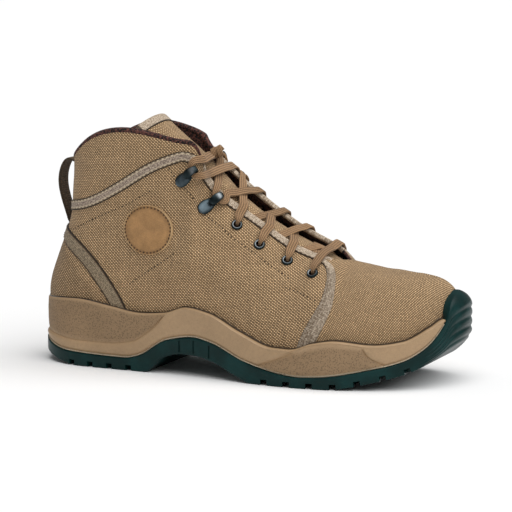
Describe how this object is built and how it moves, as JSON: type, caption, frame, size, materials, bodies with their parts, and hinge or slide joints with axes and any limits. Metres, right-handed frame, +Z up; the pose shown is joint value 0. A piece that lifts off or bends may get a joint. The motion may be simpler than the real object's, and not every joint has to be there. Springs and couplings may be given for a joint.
{
  "type": "lace-up canvas boot",
  "caption": "Mid-height lace-up canvas walking boot, hollow, with padded collar, webbing tapes, eyelets and speed hooks, on a moulded two-part sole with lugs.",
  "frame": {"origin": "on the floor under the middle of the sole's outline", "axes": "+X towards the toe, +Y towards the inner side of the foot, +Z up"},
  "size_m": [0.302, 0.1042, 0.17],
  "materials": {
    "canvas": "coarse woven, matt",
    "ankle_webbing": "woven tape, matt",
    "facing_webbing": "woven tape, matt",
    "midsole_foam": "satin",
    "outsole_rubber": "semi-gloss",
    "insole_foam": "matt",
    "badge_leather": "smooth",
    "loop_webbing": "woven tape, matt",
    "gunmetal": "gloss",
    "lace_braid": "flat braid, matt"
  },
  "bodies": {
    "root": {"upper": "canvas", "tongue": "canvas", "collar_tape": "ankle_webbing", "counter_tape": "ankle_webbing", "facing_tape_lateral": "facing_webbing", "facing_tape_medial": "facing_webbing", "midsole": "midsole_foam", "outsole": "outsole_rubber", "insole": "insole_foam", "badge": "badge_leather", "pull_loop": "loop_webbing", "eyelet_lateral_1": "gunmetal", "eyelet_lateral_2": "gunmetal", "eyelet_lateral_3": "gunmetal", "eyelet_lateral_4": "gunmetal", "hook_lateral_1": "gunmetal", "hook_lateral_2": "gunmetal", "eyelet_medial_1": "gunmetal", "eyelet_medial_2": "gunmetal", "eyelet_medial_3": "gunmetal", "eyelet_medial_4": "gunmetal", "hook_medial_1": "gunmetal", "hook_medial_2": "gunmetal", "lace_bar_toe": "lace_braid", "lace_cross_1": "lace_braid", "lace_cross_2": "lace_braid", "lace_cross_3": "lace_braid", "lace_cross_4": "lace_braid", "lace_cross_5": "lace_braid", "lace_bar_top": "lace_braid", "lace_knot": "lace_braid"}
  },
  "joints": []
}
